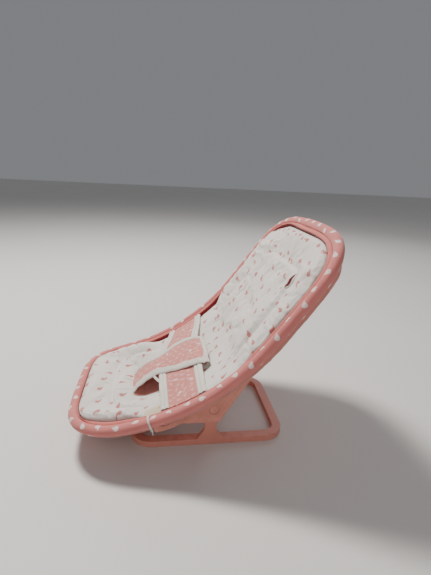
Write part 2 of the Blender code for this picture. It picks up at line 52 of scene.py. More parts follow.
# ---- the seat's driving dimensions, as in part.py ----
SHIFT_Y = 14.18
FOOT_Y, FOOT_Z = -142.9, 35.1
FOOT_ANGLE, BACK_ANGLE = radians(6.2), radians(54.3)
FOOT_STRAIGHT, BEND_R = 23.8, 233.7
OUTLINE = [(0, 3.0), (26, 3.1), (45, 4.4), (57.5, 7.9), (68.5, 14.8), (76.6, 24.5), (82.6, 38),
           (86.4, 57), (90, 91), (94.4, 132), (97, 173), (98.6, 225), (98.3, 275), (95.4, 295.5),
           (89, 308.8), (79, 318.4), (65, 325.6), (48, 329.6), (25, 331.4), (0, 331.8)]
SEAM = [(0, 41), (26, 41), (42, 43), (52, 50), (57, 64), (59, 100), (60, 160), (61, 215), (60, 240),
        (57.5, 254), (54.8, 265), (51.5, 275), (46, 281), (37, 283.8), (20, 284.6), (0, 284.8)]
BELT_HALF, BINDING, BELT_MID_U, BELT_INSET = 23.5, 8.0, 118.5, 10.0
BELT_START, BELT_RUN, TAPE_U, STITCH_PITCH = 4.0, 82.0, (112.0, 130.0), 2.5
# the last of these sets how far in from a pivot pin head's face its ring of painted shade sits
PAD_INSET, COVER_INSET, HEM_INSET, PIN_GAP_SHADE_DEPTH = 9.7, 3.5, 5.2, 0.15


def smooth(t):
    t = min(max(t, 0.0), 1.0)
    return t * t * (3 - 2 * t)


def through(points, x):
    """Value at x of an eased curve through (x, y) stations."""
    if x <= points[0][0]:
        return points[0][1]
    for (x0, y0), (x1, y1) in zip(points, points[1:]):
        if x <= x1:
            t = (x - x0) / (x1 - x0)
            return y0 + (y1 - y0) * (0.5 * t + 0.5 * smooth(t))
    return points[-1][1]


def ripple(a, b=0.0, c=0.0):
    """Smooth seeded noise from -1 to 1."""
    return noise.noise(Vector((a, b, c)))


def profile(u):
    """Point and slope of the seat's side profile, u millimetres from the foot rim."""
    arc = BEND_R * (BACK_ANGLE - FOOT_ANGLE)
    s = min(u, FOOT_STRAIGHT)
    y, z = FOOT_Y + s * cos(FOOT_ANGLE), FOOT_Z + s * sin(FOOT_ANGLE)
    a = FOOT_ANGLE + min(max(u - FOOT_STRAIGHT, 0.0), arc) / BEND_R
    y += BEND_R * (sin(a) - sin(FOOT_ANGLE))
    z += BEND_R * (cos(FOOT_ANGLE) - cos(a))
    rest = max(u - FOOT_STRAIGHT - arc, 0.0)
    return y + rest * cos(BACK_ANGLE), z + rest * sin(BACK_ANGLE), a


def place(x, u, h):
    """World point, in metres, of flat coordinates in millimetres."""
    y, z, a = profile(u)
    return Vector((x, y - h * sin(a) + SHIFT_Y, z + h * cos(a))) * MM


def tree_of(points):
    """Search tree of flat (x, u) points."""
    tree = kdtree.KDTree(len(points))
    for i, (x, u) in enumerate(points):
        tree.insert((x, u, 0), i)
    tree.balance()
    return tree


LOOP_POINTS, CURVE_STEPS = 900, 24


class Loop:
    """A closed smooth outline through half of its points, mirrored in x."""

    def __init__(self, half, inset=0.0):
        points = [Vector(p) for p in half] + [Vector((-x, u)) for x, u in reversed(half[1:-1])]
        dense, n = [], len(points)
        for i in range(n):
            p = [points[(i + k) % n] for k in (-1, 0, 1, 2)]
            for j in range(CURVE_STEPS):
                t = j / CURVE_STEPS
                dense.append(0.5 * (2 * p[1] + (p[2] - p[0]) * t
                                    + (2 * p[0] - 5 * p[1] + 4 * p[2] - p[3]) * t * t
                                    + (3 * p[1] - p[0] - 3 * p[2] + p[3]) * t ** 3))
        lengths = [0.0]
        for a, b in zip(dense, dense[1:] + dense[:1]):
            lengths.append(lengths[-1] + (b - a).length)
        self.length = lengths[-1]
        self.points, self.normals, k = [], [], 0
        count = LOOP_POINTS
        for i in range(count):
            target = self.length * i / count
            while lengths[k + 1] < target:
                k += 1
            a, b = dense[k], dense[(k + 1) % len(dense)]
            tangent = (b - a).normalized()
            normal = Vector((tangent.y, -tangent.x))
            t = (target - lengths[k]) / max(lengths[k + 1] - lengths[k], 1e-9)
            spot = a.lerp(b, t)
            depth = inset(spot.x, spot.y) if callable(inset) else inset
            self.points.append(spot - depth * normal)
            self.normals.append(normal)
        self.tree = tree_of(self.points)
        self.side = sorted((p.y, p.x) for p in self.points if p.x > 0)
        self.low, self.high = self.side[0][0] + 0.4, self.side[-1][0] - 0.4

    def at(self, s):
        """Point and outward normal at arc length s."""
        f = (s / self.length % 1.0) * len(self.points)
        i, t = int(f), f - int(f)
        j, k = i % len(self.points), (i + 1) % len(self.points)
        return (self.points[j].lerp(self.points[k], t),
                self.normals[j].lerp(self.normals[k], t).normalized())

    def half_width(self, u):
        u = min(max(u, self.low), self.high)
        k = bisect_right(self.side, (u, inf))
        (u0, x0), (u1, x1) = self.side[k - 1:k + 1]
        return x0 + (x1 - x0) * (u - u0) / max(u1 - u0, 1e-9)

    def distance(self, x, u):
        """Distance inwards from the loop (negative outside) and arc length of the nearest point."""
        _, i, d = self.tree.find((x, u, 0))
        p, n = self.points[i], self.normals[i]
        inside = (x - p.x) * n.x + (u - p.y) * n.y < 0
        return (d if inside else -d), self.length * i / len(self.points)


def pad_inset(x, u):
    """The pad's edge laps over the band at the foot, and a little at the far side of the head."""
    return PAD_INSET + smooth((u - 292) / 26) * (0.9 - 3.0 * smooth((-x - 10) / 50)) - 4.3 * lap(u)


def lap(u):
    """How far the pad has crept out over the band: full at the foot, none from there on."""
    return 1 - smooth((u - 9) / 22)


def rise(u, x=0.0):
    """How much the pad's border stands up: full at foot and head, none under the belt."""
    late = 10.0 * smooth((-x - 40) / 30)
    return 4.2 * (1 - smooth((u - 58 - late) / 28)) + 4.2 * smooth((u - 172 - 0.6 * late) / 34)


RIM = Loop(OUTLINE)
PAD_EDGE = Loop(OUTLINE, pad_inset)
COVER_EDGE = Loop(OUTLINE, 5.6)
PANEL = Loop(SEAM)


# ---- mesh helpers ----
def new_object(name, data):
    obj = bpy.data.objects.new(name, data)
    bpy.context.scene.collection.objects.link(obj)
    return obj


def new_mesh(name, bm, mat):
    mesh = bpy.data.meshes.new(name)
    bm.to_mesh(mesh)
    bm.free()
    mesh.materials.append(mat)
    return mesh


def finish_piece(name, bm, look, body, cloth=None, smooth_angle=60, slot=None):
    """Turn a bmesh into a piece that rides on a body; cloth maps verts to weave coordinates."""
    bmesh.ops.recalc_face_normals(bm, faces=bm.faces)
    bm.verts.index_update()
    coords = [c for v in bm.verts for c in cloth[v]] if cloth else None
    mesh = new_mesh(name, bm, MAT[look])
    if coords:
        mesh.attributes.new("cloth", "FLOAT_VECTOR", "POINT").data.foreach_set("vector", coords)
    mesh.shade_smooth()
    mesh.set_sharp_from_angle(angle=radians(smooth_angle))
    obj = new_object(name, mesh)
    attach(obj, body)
    slot or SLOT_OF[look]
    return obj


def thicken(piece, thickness, offset=0):
    """Give a single layer of cloth its thickness in millimetres."""
    solid = piece.modifiers.new("Cloth", "SOLIDIFY")
    solid.thickness, solid.offset = thickness * MM, offset


def loft(name, look, body, nu, nv, point, cloth, wrap_u=False, wrap_v=False, caps=False,
         smooth_angle=60):
    """Piece of a grid: point(i, j) gives flat (x, u, h), cloth(i, j) the weave coordinates."""
    bm, weave, grid = bmesh.new(), {}, []
    for i in range(nu):
        row = [bm.verts.new(place(*point(i, j))) for j in range(nv)]
        weave.update((v, cloth(i, j)) for j, v in enumerate(row))
        grid.append(row)
    for i in range(nu if wrap_u else nu - 1):
        a, b = grid[i], grid[(i + 1) % nu]
        for j in range(nv if wrap_v else nv - 1):
            k = (j + 1) % nv
            bm.faces.new((a[j], b[j], b[k], a[k]))
    if caps:
        for row in (grid[0], grid[-1]):
            for j in range(nv // 2 - 1):
                bm.faces.new([row[j], row[j + 1], row[nv - 2 - j], row[nv - 1 - j]])
    return finish_piece(name, bm, look, body, weave, smooth_angle)


def join_rings(bm, r0, r1):
    for m in range(len(r0)):
        n = (m + 1) % len(r0)
        bm.faces.new((r0[m], r0[n], r1[n], r1[m]))


THREAD_TURNS = [2 * pi * m / 6 for m in range(6)]
THREAD_SHAPE = ((0.0, 0.25), (0.12, 0.8), (0.5, 1.0), (0.88, 0.8), (1.0, 0.25))


def stitch_row(name, count, ends, look, body, radius=0.24, slot=None):
    """Row of short sewn threads; ends(k) gives a thread's start and end in flat coordinates."""
    bm = bmesh.new()
    for k in range(count):
        a, b = [place(*p) for p in ends(k)]
        axis = (b - a).normalized()
        side = axis.cross(Vector((0.31, 0.17, 0.93))).normalized()
        up = side.cross(axis)
        rings = []
        for t, r in THREAD_SHAPE:
            middle, size = a.lerp(b, t), r * radius * MM
            rings.append([bm.verts.new(middle + (side * cos(q) + up * sin(q)) * size)
                          for q in THREAD_TURNS])
        for r0, r1 in zip(rings, rings[1:]):
            join_rings(bm, r0, r1)
        bm.faces.new(rings[0][::-1])
        bm.faces.new(rings[-1])
    return finish_piece(name, bm, look, body, slot=slot)


def loop_stitches(name, loop, pitch, share, spot, look, radius=0.24, slot=None):
    """Stitches on the seat along a loop; spot(p, n) is the thread's place at a point of it."""
    count = int(loop.length / pitch)

    def ends(k):
        return [spot(*loop.at((k + t) * loop.length / count)) for t in (0, share)]

    stitch_row(name, count, ends, look, "seat", radius, slot)


# ---- materials ----
class Value:
    """Output of a shader node, which adds, subtracts and multiplies like a number."""

    def __init__(self, nodes, socket):
        self.nodes, self.socket = nodes, socket

    def __add__(self, other):
        return self.nodes.math("ADD", self, other)

    def __sub__(self, other):
        return self.nodes.math("SUBTRACT", self, other)

    def __mul__(self, other):
        return self.nodes.math("MULTIPLY", self, other)


class Nodes:
    """Short helper for building a material's node tree."""

    def __init__(self, name):
        self.mat = bpy.data.materials.new(name)
        self.mat.use_nodes = True
        self.tree = self.mat.node_tree
        self.shader = self.tree.nodes["Principled BSDF"]

    def put(self, value, socket):
        """Link a value to a socket, or set the socket to a plain number, vector or colour."""
        if isinstance(value, Value):
            self.tree.links.new(value.socket, socket)
        elif value is not None:
            socket.default_value = value

    def fill(self, node, **inputs):
        """Fill inputs by their names, where an underscore stands for a space."""
        for name, value in inputs.items():
            self.put(value, node.inputs[name.replace("_", " ")])

    def add(self, kind, *inputs, **settings):
        """New node with these settings, and its first inputs in order."""
        node = self.tree.nodes.new("ShaderNode" + kind)
        for key, value in settings.items():
            setattr(node, key, value)
        for socket, value in zip(node.inputs, inputs):
            self.put(value, socket)
        return node

    def out(self, node, name=0):
        return Value(self, node.outputs[name])

    def math(self, operation, a, b=None):
        return self.out(self.add("Math", a, b, operation=operation))

    def vector(self, operation, a, b=None):
        node = self.add("VectorMath", a, b, operation=operation)
        return self.out(node, "Value" if operation in ("LENGTH", "DISTANCE") else "Vector")

    def ramp(self, value, lo, hi, to_lo=0.0, to_hi=1.0):
        node = self.add("MapRange", value, lo, hi, to_lo, to_hi, interpolation_type="SMOOTHSTEP")
        return self.out(node, "Result")

    def noise(self, coords, scale, detail=2.0, rough=0.5):
        node = self.add("TexNoise", coords)
        self.fill(node, Scale=scale, Detail=detail, Roughness=rough)
        return self.out(node, "Fac")

    def mix(self, fac, a, b):
        node = self.add("Mix", fac, data_type="RGBA")
        for value, socket in zip((a, b), node.inputs[6:8]):
            self.put(value if isinstance(value, Value) else (*value, 1.0), socket)
        return self.out(node, 2)

    def xyz(self, coords):
        node = self.add("SeparateXYZ", coords)
        return [self.out(node, i) for i in range(3)]

    def join(self, x, y, z=0.0):
        return self.out(self.add("CombineXYZ", x, y, z))

    def bump(self, height, strength, distance):
        """Add relief to the shader, on top of the relief that it has."""
        node = self.add("Bump")
        self.fill(node, Strength=strength, Distance=distance, Height=height)
        normal = self.shader.inputs["Normal"]
        if normal.is_linked:
            self.tree.links.new(normal.links[0].from_socket, node.inputs["Normal"])
        self.put(self.out(node), normal)


def tint(colour, gain, lift=0.0):
    return [min(c * gain + lift, 1.0) for c in colour]


def comma_print(n, coords, cell, size, turn, seed=0.0, fill=1.0, base=0.35, tail_end=2.75):
    """Mask of scattered small comma shapes: a round head with a short curved tail."""
    x, y, _ = n.xyz(coords)
    gx, gy = n.math("DIVIDE", x, cell[0]), n.math("DIVIDE", y, cell[1])
    gx += n.math("MODULO", n.math("ABSOLUTE", n.math("FLOOR", gy)), 2.0) * 0.5
    ix, iy = n.math("FLOOR", gx), n.math("FLOOR", gy)
    rnd = n.add("TexWhiteNoise", n.join(ix, iy, seed), noise_dimensions="3D")
    r, g, b = n.xyz(n.out(rnd, "Color"))
    jitter = 0.32
    px = gx - ix - 0.5 - (r - 0.5) * jitter
    py = gy - iy - 0.5 - (g - 0.5) * jitter
    spin = n.add("VectorRotate", n.join(px * cell[0], py * cell[1]), rotation_type="Z_AXIS")
    flip = n.math("GREATER_THAN", r, 0.5) * pi
    n.fill(spin, Angle=(b - 0.5) * turn + flip + base)
    local = n.out(spin)
    wobble = (n.noise(coords, 0.9, 1.0) - 0.5) * (0.5 * size)
    head = n.ramp(n.vector("DISTANCE", local, (size * 0.8, 0.0, 0.0)) + wobble,
                  size * 0.72, size * 0.95, 1.0, 0.0)
    arm = n.vector("SUBTRACT", local, (size * 0.75, -size * 2.0, 0.0))
    ax, ay, _ = n.xyz(arm)
    theta = n.math("ARCTAN2", ay, ax)
    width = n.ramp(theta, 1.45, tail_end, size * 0.6, size * 0.12)
    off = n.math("ABSOLUTE", n.vector("LENGTH", arm) - size * 2.0)
    tail = n.ramp(off + wobble * 0.3 - width, -0.12 * size, 0.2 * size, 1.0, 0.0)
    tail *= n.math("GREATER_THAN", theta, 1.35) * n.math("LESS_THAN", theta, tail_end)
    mark = n.math("MAXIMUM", head, tail)
    if fill < 1.0:
        mark *= n.math("LESS_THAN", n.math("FRACT", (r + b) * 7.31), fill)
    return mark


STAIN_AT, STAIN_COLOUR = (74.0, 88.0, 0.0), (0.60, 0.43, 0.22)


def cloth_material(name, base, dots=(), dot_colour=None, weave=0.42, crinkle=0.25, rough=0.9,
                   stain=False, gap_shade=None):
    """Woven cotton: crossing threads, soft crinkle, tonal change, optional comma print; painted shade
    in the weave's hollows and, optionally, in a gap.
    """
    n = Nodes(name)
    coords = n.out(n.add("Attribute", attribute_name="cloth", attribute_type="GEOMETRY"), "Vector")
    broad = n.noise(coords, 0.035, 3.0)
    fine = n.noise(coords, 0.5, 3.0)
    colour = n.mix(n.ramp(broad, 0.3, 0.7), tint(base, 0.955), tint(base, 1.03))
    colour = n.mix(n.ramp(fine, 0.35, 0.75) * 0.06, colour, tint(base, 0.6))
    for index, (strength, spec) in enumerate(dots):
        mask = comma_print(n, coords, seed=3.0 + index * 7, **spec) * strength
        faded = mask * n.ramp(n.noise(coords, 1.3, 2.0), 0.25, 0.65, 0.68, 1.0)
        colour = n.mix(faded, colour, dot_colour)
    x, y, _ = n.xyz(coords)
    tau = 2 * pi / weave
    warp, weft = n.math("SINE", x * tau), n.math("SINE", y * tau)
    threads = (warp * weft + (warp + weft) * 0.35) * 0.5
    # painted shade: the hollows between the threads, low in the weave's relief, are darkened by up to
    # 16 %
    colour = n.mix(n.ramp(threads, -0.7, 0.5, 0.16, 0.0), colour, tint(base, 0.55))
    if stain:
        blot = n.vector("DISTANCE", coords, STAIN_AT) + n.noise(coords, 0.13, 3.0) * 12.0
        colour = n.mix(n.ramp(blot, 11.0, 20.0, 0.62, 0.0), colour, STAIN_COLOUR)
    # painted shade: the cloth turns dark red across its width where it plunges into the gap at the
    # pad's edge
    if gap_shade:
        colour = n.mix(n.ramp(y + fine, gap_shade[0], gap_shade[1]), colour, gap_shade[2])
    n.fill(n.shader, Base_Color=colour, Sheen_Weight=0.25, Sheen_Roughness=0.45,
           Specular_IOR_Level=0.25,
           Roughness=n.ramp(fine, 0.2, 0.8, rough - 0.07, min(rough + 0.06, 1.0)))
    n.bump(n.noise(coords, crinkle, 4.0, 0.6), 0.35, 0.0009)
    n.bump(threads, 0.35, 0.00012)
    return n.mat


def thread_material(name, base):
    """Twisted sewing thread: fine slanted ridges and a little tonal change."""
    n = Nodes(name)
    coords = n.out(n.add("TexCoord"), "Object")
    n.fill(n.shader, Base_Color=n.mix(n.noise(coords, 900.0, 2.0), tint(base, 0.8), base),
           Roughness=0.75, Sheen_Weight=0.3)
    wave = n.add("TexWave", coords, 1500.0)
    n.bump(n.out(wave, "Fac"), 0.3, 0.0001)
    return n.mat


def plastic_material(name, base):
    """Semi-gloss moulded plastic: faint flow mottling, fine grain, scuffs and rubbed edges."""
    n = Nodes(name)
    coords = n.out(n.add("TexCoord"), "Object")
    flow = n.noise(coords, 14.0, 4.0, 0.6)
    colour = n.mix(n.ramp(flow, 0.35, 0.7), tint(base, 0.93), tint(base, 1.05))
    edge = n.ramp(n.out(n.add("NewGeometry"), "Pointiness"), 0.53, 0.62)
    edge *= n.ramp(n.noise(coords, 160.0, 3.0), 0.35, 0.6)
    colour = n.mix(edge * 0.35, colour, tint(base, 1.25, 0.08))
    specks = n.ramp(n.noise(coords, 420.0, 2.0), 0.68, 0.74, 0.0, 0.22)
    colour = n.mix(specks, colour, tint(base, 0.62))
    scuff = n.add("Mapping", coords)
    n.fill(scuff, Rotation=(0.3, 0.2, 0.7), Scale=(1.0, 0.12, 1.0))
    lines = n.ramp(n.noise(n.out(scuff), 700.0, 2.0), 0.58, 0.7, 0.0, 0.18)
    n.fill(n.shader, Base_Color=colour, Roughness=n.ramp(flow, 0.3, 0.7, 0.34, 0.44) + lines,
           Subsurface_Weight=0.08, Subsurface_Radius=(0.004, 0.0015, 0.001))
    n.bump(n.noise(coords, 1100.0, 2.0), 0.12, 0.0001)
    n.bump(n.noise(coords, 60.0, 2.0), 0.1, 0.0008)
    return n.mat


def metal_material(name, base):
    """Plain steel with a little tonal change."""
    n = Nodes(name)
    coords = n.out(n.add("TexCoord"), "Object")
    n.fill(n.shader, Base_Color=n.mix(n.noise(coords, 300.0, 3.0), tint(base, 0.8), base),
           Metallic=1.0, Roughness=n.ramp(n.noise(coords, 500.0), 0.3, 0.7, 0.28, 0.45))
    return n.mat


MAT = {
    "plastic": plastic_material("pink_plastic_look", (0.68, 0.265, 0.20)),
    "pad": cloth_material(
        "pad_cotton_look", (0.80, 0.755, 0.705),
        [(1.0, dict(cell=(20.0, 21.5), size=2.65, turn=1.5, base=1.15)),
         (1.0, dict(cell=(21.0, 27.0), size=1.9, turn=2.4, base=1.3, fill=0.65))],
        (0.57, 0.135, 0.12), crinkle=0.30, stain=True),
    "rim": cloth_material(
        "rim_cotton_look", (0.66, 0.215, 0.195),
        [(1.0, dict(cell=(17.5, 13.6), size=2.95, turn=2.2, tail_end=2.3, base=0.2))],
        (0.86, 0.78, 0.74), crinkle=0.16),
    "belt": cloth_material(
        "belt_cotton_look", (0.66, 0.245, 0.215),
        [(0.38, dict(cell=(8.5, 7.6), size=1.75, turn=3.0)),
         (0.42, dict(cell=(7.4, 9.0), size=1.2, turn=3.0, fill=0.7)),
         (1.0, dict(cell=(21.0, 17.0), size=1.9, turn=3.0, fill=0.8))],
        (0.86, 0.70, 0.65), crinkle=0.30),
    "cover": cloth_material("cover_cotton_look", (0.62, 0.23, 0.19), crinkle=0.12),
    # the seam band carries painted shade where it dips into the gap beside the pad
    "seam": cloth_material("seam_cotton_look", (0.68, 0.20, 0.17), crinkle=0.2,
                           gap_shade=(9.8, 11.4, (0.20, 0.018, 0.02))),
    "white": cloth_material("binding_cotton_look", (0.78, 0.735, 0.67), weave=0.38, crinkle=0.35,
                            rough=0.85),
    "loop": cloth_material("loop_tape_look", (0.80, 0.78, 0.74), weave=0.9, crinkle=0.8,
                           rough=0.95),
    "stitch": thread_material("pink_thread_look", (0.78, 0.36, 0.33)),
    "bristle": thread_material("bristle_look", (0.80, 0.78, 0.74)),
    "white_stitch": thread_material("white_thread_look", (0.84, 0.81, 0.77)),
    "tan_stitch": thread_material("tan_thread_look", (0.46, 0.36, 0.29)),
    "red_stitch": thread_material("red_thread_look", (0.36, 0.06, 0.06)),
    "slit": cloth_material("slit_shadow_look", (0.20, 0.035, 0.045), weave=0.5),
    # painted shade: near-black red for the ring that stands for the shade in the gap round each pivot
    # pin's head
    "pin_gap_shade": plastic_material("pin_gap_shade_look", (0.16, 0.035, 0.025)),
    "steel": metal_material("screw_steel_look", (0.62, 0.61, 0.60)),
}
SLOT_OF = {
    "pad": "white_print_cotton", "rim": "pink_print_cotton", "belt": "pink_belt_cotton",
    "cover": "pink_cotton", "seam": "seam_cotton", "stitch": "seam_cotton",
    "red_stitch": "seam_cotton", "slit": "seam_cotton", "white": "white_binding",
    "white_stitch": "white_binding", "tan_stitch": "white_binding", "loop": "hook_and_loop",
    "bristle": "hook_and_loop", "pin_gap_shade": "pink_plastic",
}


# ---- camera, floor and light ----
FOCAL_PX, LONG_SIDE_PX, SENSOR = 374.8, 575, 36.0
CAMERA_AT = Vector((0.3849, -0.0547 + SHIFT_Y * MM, 0.2749))
PITCH, ROLL, YAW = radians(17.25), radians(2.99), radians(9.12)


def add_camera():
    forward = Vector((-cos(YAW) * cos(PITCH), sin(YAW) * cos(PITCH), -sin(PITCH)))
    right = forward.cross(Vector((0, 0, 1))).normalized()
    up = right.cross(forward)
    x_axis = cos(ROLL) * right + sin(ROLL) * up
    y_axis = -sin(ROLL) * right + cos(ROLL) * up
    data = bpy.data.cameras.new("camera")
    data.sensor_width = SENSOR
    data.lens = FOCAL_PX * SENSOR / LONG_SIDE_PX
    data.clip_start, data.clip_end = 0.01, 50
    cam = new_object("camera", data)
    turn = Matrix((x_axis, y_axis, -forward)).transposed()
    cam.matrix_world = Matrix.Translation(CAMERA_AT) @ turn.to_4x4()
    bpy.context.scene.camera = cam


def add_area(name, at, look, size, watts, colour):
    data = bpy.data.lights.new(name, "AREA")
    data.shape, data.size, data.energy, data.color = "SQUARE", size, watts, colour
    lamp = new_object(name, data)
    lamp.location = at
    lamp.rotation_euler = (Vector(look) - Vector(at)).to_track_quat("-Z", "Y").to_euler()


def add_stage():
    n = Nodes("floor_look")
    coords = n.out(n.add("TexCoord"), "Object")
    pale = n.mix(n.noise(coords, 3.0, 3.0), (0.68, 0.66, 0.63), (0.74, 0.72, 0.69))
    n.fill(n.shader, Base_Color=pale, Roughness=0.6)
    bm = bmesh.new()
    bmesh.ops.create_grid(bm, x_segments=8, y_segments=8, size=6.0)
    floor = new_object("floor", new_mesh("floor", bm, n.mat))
    floor.location = (0, 0, -0.0002)
    world = bpy.data.worlds.new("studio")
    bpy.context.scene.world = world
    world.use_nodes = True
    sky = world.node_tree.nodes["Background"]
    sky.inputs["Color"].default_value = (0.93, 0.95, 1.0, 1)
    sky.inputs["Strength"].default_value = 0.23
    middle = (0, 0, 0.08)
    add_area("key", (-0.55, -0.45, 1.3), middle, 0.26, 28.0, (1.0, 0.965, 0.92))
    add_area("fill", (1.3, 0.0, 0.8), middle, 1.2, 4.5, (1.0, 0.97, 0.94))
    add_area("back", (-1.1, 0.7, 0.9), middle, 0.9, 3.0, (0.95, 0.97, 1.0))


# ---- rim ----
RIM_A, RIM_B = 5.2, 5.0   # half width and half height of the rim's skin
RIM_CLOTH = 27.0          # width of the cloth round the rim
SEAM_LINE = 4.45          # the stitched groove, inwards from the rim's middle


def rim_section(t, s, extra):
    """Outward and upward offset of the rim's skin; t runs from the seam over to the hem."""
    a = radians(140 - 288 * t)
    seam = exp(-(t / 0.10) ** 2)
    hem = exp(-((t - 1.0) / 0.16) ** 2)
    pucker = seam * 0.28 * ripple(s * 0.33, 2.0) + hem * 0.8 * ripple(s * 0.21, 9.0)
    swell = 0.26 * ripple(s * 0.035, t * 2.2, 4.0) + 0.13 * ripple(s * 0.11, t * 4.0, 7.0)
    crease = -0.22 * max(ripple(s * 0.09 + 40 * t, t * 1.5, 11.0) - 0.25, 0)
    d = (RIM_A + pucker + swell + crease) * cos(a)
    h = (RIM_B + pucker + swell + crease) * sin(a)
    reach = smooth((0.16 - t) / 0.16) * extra
    pull = smooth(1 - t / 0.06)
    return d - 0.3 * pull - reach, h - 1.3 * pull


def rim_extra(p):
    """How much further in the rim's cloth reaches where the pad is set back."""
    return max(pad_inset(p.x, p.y) - PAD_INSET, 0.0)


def band_section(t, s, gap, inner, extra):
    """Piped band between the rim and the pad; inner is its height at the pad's edge."""
    d0, d1 = -4.1 - extra, -(gap - 1.1)
    wrinkle = 0.16 * ripple(s * 0.3, t * 2.0, 15.0) + 0.07 * ripple(s * 0.9, t * 3.0, 16.0)
    if t < 0.72:
        k = t / 0.72
        d = d0 + (d1 - d0) * k
        h = 2.3 + (inner - 2.3) * k + 1.15 * sin(pi * k) ** 0.6 + wrinkle
        return d, h
    k = (t - 0.72) / 0.28
    return d1 - 1.3 * k - 0.5 * sin(pi * k), inner - 7.0 * k ** 1.3 + wrinkle * (1 - k)


def build_rim():
    nu, nv, band_rows = 560, 30, 17
    step = RIM.length / nu
    widths = {}

    def point(i, j):
        p, n = RIM.at(i * step)
        d, h = rim_section(j / (nv - 1), i * step, rim_extra(p))
        return p.x + n.x * d, p.y + n.y * d, h

    def woven(i, j):
        """True length along the cloth, measured from its hem."""
        if i not in widths:
            extra = rim_extra(RIM.at(i * step)[0])
            spots = [Vector(rim_section(k / (nv - 1), i * step, extra)) for k in range(nv)]
            left = [0.0]
            for a, b in zip(spots[::-1], spots[-2::-1]):
                left.append(left[-1] + (b - a).length)
            widths[i] = left[::-1]
        return i * step, RIM_CLOTH - widths[i][j], 0

    rim = loft("rim_fabric", "rim", "seat", nu, nv, point, woven, wrap_u=True)
    thicken(rim, 0.9, -1)
    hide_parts("rim_cover")

    def band_point(i, j):
        p, n = RIM.at(i * step)
        inner = 1.2 + 0.5 * rise(p.y)
        d, h = band_section(j / (band_rows - 1), i * step, pad_inset(p.x, p.y), inner, rim_extra(p))
        return p.x + n.x * d, p.y + n.y * d, h

    seam = loft("rim_seam_cloth", "seam", "seat", nu, band_rows, band_point,
                lambda i, j: (i * step, j * 0.9, 0), wrap_u=True)
    thicken(seam, 0.6, -1)
    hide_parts("rim_seam_strip")

    def groove(p, n):
        d = SEAM_LINE + rim_extra(p)
        return p.x - d * n.x, p.y - d * n.y, 2.75

    loop_stitches("rim_seam_stitches", RIM, 2.7, 0.66, groove, "stitch", 0.2)


# ---- pad ----
EDGE_ROUND = 2.2
# creases in the back: middle x and u, width, depth, and lean across per millimetre along
CREASES = [(-26, 205, 3.2, 0.9, 0.05), (-4, 215, 2.6, 0.8, -0.10), (16, 232, 3.0, 0.7, 0.12),
           (-44, 178, 3.4, 0.8, 0.25), (36, 205, 2.8, 0.5, -0.2)]


def border_shape(t, edge, crest, seam):
    """Height across the border roll, t from the pad's edge (0) to the inner seam (1)."""
    if t < 0.36:
        return edge + (crest - edge) * sin(pi / 2 * t / 0.36) ** 0.8
    return seam + (crest - seam) * max(cos(pi / 2 * (t - 0.36) / 0.64), 0) ** 0.75


def pad_height(x, u):
    """Top of the quilted pad above the rim plane."""
    e, s_edge = PAD_EDGE.distance(x, u)
    e = max(e, 0.0)
    q, s_seam = PANEL.distance(x, u)
    up = rise(u, x)
    head = smooth((u - 250) / 26)
    edge = -2.6 + 1.4 * up + 2.3 * lap(u)
    flat_side = smooth((abs(x) - 38) / 14) * smooth((u - 165) / 35) * (1 - smooth((u - 274) / 16))
    crest = -1.1 + 2.25 * up - (2.9 if x > 0 else 1.0) * flat_side
    seam = -3.2 + 0.62 * up + (2.6 if x > 0 else 0.8) * flat_side
    if q < 0:
        h = border_shape(e / max(e - q, 1e-6), edge, crest, seam)
    else:
        floor = -10.2 + 7.6 * smooth((u - 165) / 45)
        sag = max(seam - floor, 0) * smooth(q / 34)
        puff = (0.8 + 0.8 * up) * min(q / 4.5, 1.0) ** 0.7 * exp(-max(q - 4.5, 0) / 20)
        h = seam - sag + puff
    gather = exp(-abs(q) / (6.5 + 4 * head)) * min(abs(q) / 1.5, 1.0)
    h += gather * (0.6 + 1.0 * head) * ripple(s_seam * 0.17, 1.0) * smooth(up / 2)
    back = smooth((u - 165) / 40) * smooth(q / 6)
    h += 0.5 * back * ripple(x * 0.14 + 0.02 * u, u * 0.022, 25.0)
    h += 0.28 * back * ripple(x * 0.33 - 0.05 * u, u * 0.05, 27.0)
    h += 0.45 * exp(-e / 5.0) * ripple(s_edge * 0.17, 5.0)
    h += (0.25 + 0.16 * up) * ripple(x * 0.028, u * 0.028, 3.0)
    h += (0.12 + 0.07 * up) * ripple(x * 0.075, u * 0.075, 8.0)
    fold = ripple(x * 0.05 + 3, u * 0.018, 13.0)
    h -= 0.5 * exp(-(fold / 0.05) ** 2) * smooth(q / 8) * smooth(up / 2)
    for cx, cu, width, depth, lean in CREASES:
        across = x - cx - lean * (u - cu)
        along = exp(-((u - cu) / 26) ** 2)
        h -= depth * along * exp(-(across / width) ** 2) * smooth(q / 6)
    h += 0.08 * ripple(x * 0.25, u * 0.25, 21.0)
    return h


def pad_edge_drop(e):
    """The cloth turns under at the pad's edge, e inwards from it, in a quarter of a circle."""
    t = min(e / EDGE_ROUND, 1.0)
    return -EDGE_ROUND * (1 - sqrt(max(1 - (1 - t) ** 2, 0.0)))


def pad_top(x, u):
    """Top of the pad with its rounded edge, and how far in from the edge it lies."""
    e = max(PAD_EDGE.distance(x, u)[0], 0.0)
    return pad_height(x, u) + pad_edge_drop(e), e


def cover_mid(x, u):
    """Middle of the cover's thickness, which the pad's underside keeps clear of."""
    d = max(COVER_EDGE.distance(x, u)[0], 0.0)
    return through([(0, -6.2), (0.9, -11.2), (3.6, -14.5), (12.5, -17.4), (60, -20.4)], d)


def edge_bottom(u):
    """Where the pad's edge ends below, between the rim and the cover."""
    return -6.6 + 1.4 * rise(u) + 4.6 * lap(u)


SLOT_FROM, SLOT_TO, SLOT_BULGE, SLOT_WIDE = (53.4, 262.5), (48.2, 280.5), 2.4, 2.1
PAD_ROWS, PAD_COLS = 168, 108
SIM_FRAMES, SIM_CAP = 18, 2.4 * MM


